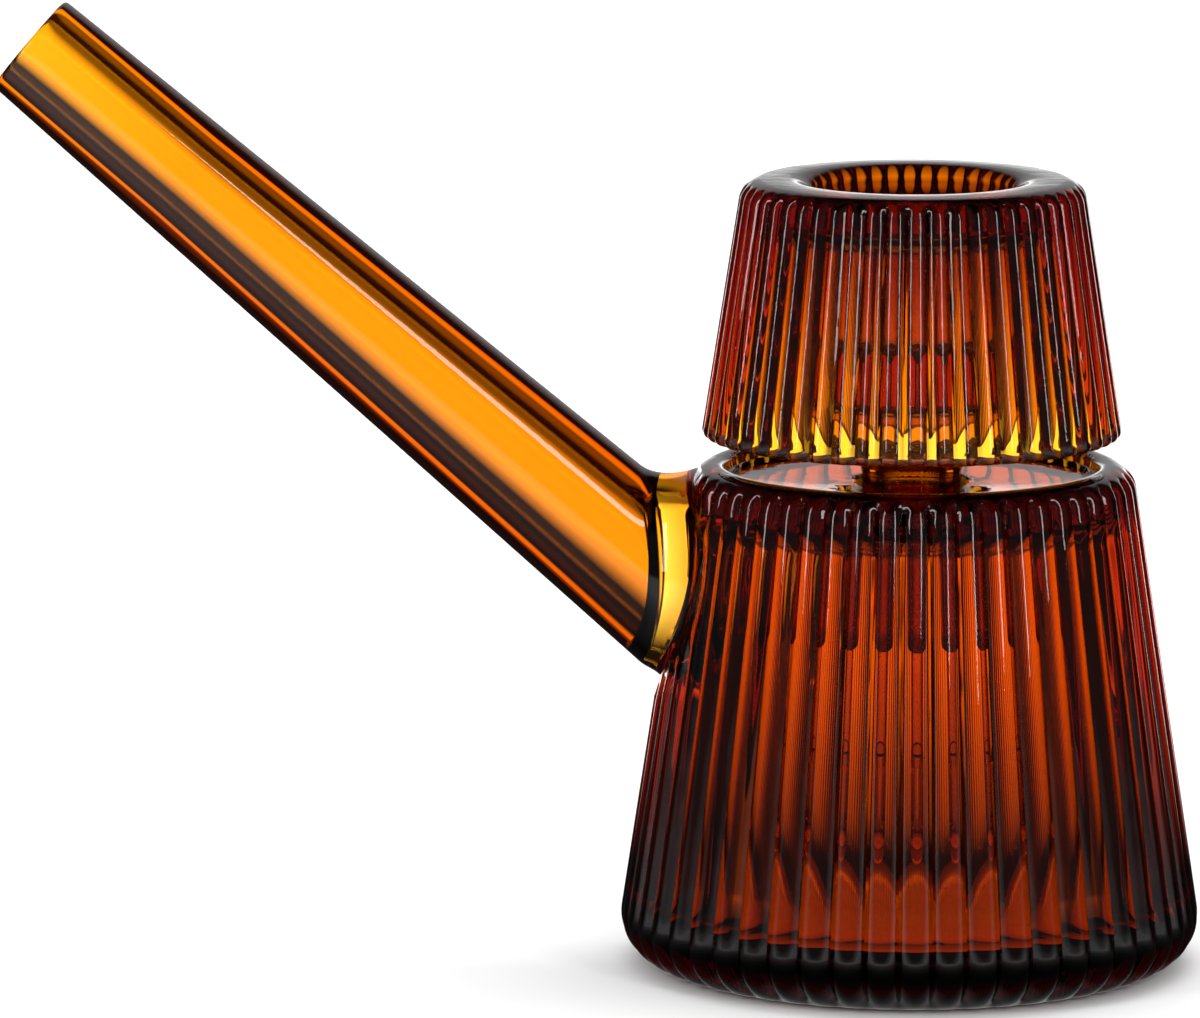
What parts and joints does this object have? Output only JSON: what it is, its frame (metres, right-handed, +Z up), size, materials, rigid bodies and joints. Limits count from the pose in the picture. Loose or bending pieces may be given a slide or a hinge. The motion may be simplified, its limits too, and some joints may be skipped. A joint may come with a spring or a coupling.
{
  "type": "glass water pipe",
  "caption": "Amber ribbed glass water chamber with a slanted mouthpiece arm and a lift-out ribbed cap that carries a bowl, a ground joint and a downstem.",
  "frame": {"origin": "centre of the vessel's flat base, on the vessel's axis, at table level", "axes": "+Z up along the vessel's axis; the mouthpiece arm rises towards -X; +Y is across the arm"},
  "size_m": [0.1758, 0.0844, 0.1397],
  "materials": {
    "pressed_glass": "glossy pressed amber glass with fine upright ribs",
    "drawn_glass": "clear glossy drawn amber glass tube",
    "joint_glass": "amber glass, polished outside and finely ground on the tapered seat"
  },
  "bodies": {
    "vessel": {"vessel_shell": "pressed_glass", "neck_socket": "joint_glass", "arm_boss": "drawn_glass", "arm_tube": "drawn_glass"},
    "stem": {"joint_cone": "joint_glass", "downstem": "drawn_glass", "diffuser_tip": "drawn_glass"},
    "cap": {"cap_shell": "pressed_glass", "bowl_tube": "drawn_glass", "bowl_seal": "drawn_glass"}
  },
  "joints": [
    {"name": "cap_lift", "type": "slide", "parent": "vessel", "child": "stem", "axis": [0, 0, 1], "range_m": [0, 0.065]},
    {"name": "cap_turn", "type": "hinge", "parent": "stem", "child": "cap", "pos_m": [0, 0, 0.0746], "axis": [0, 0, 1], "continuous": true}
  ]
}
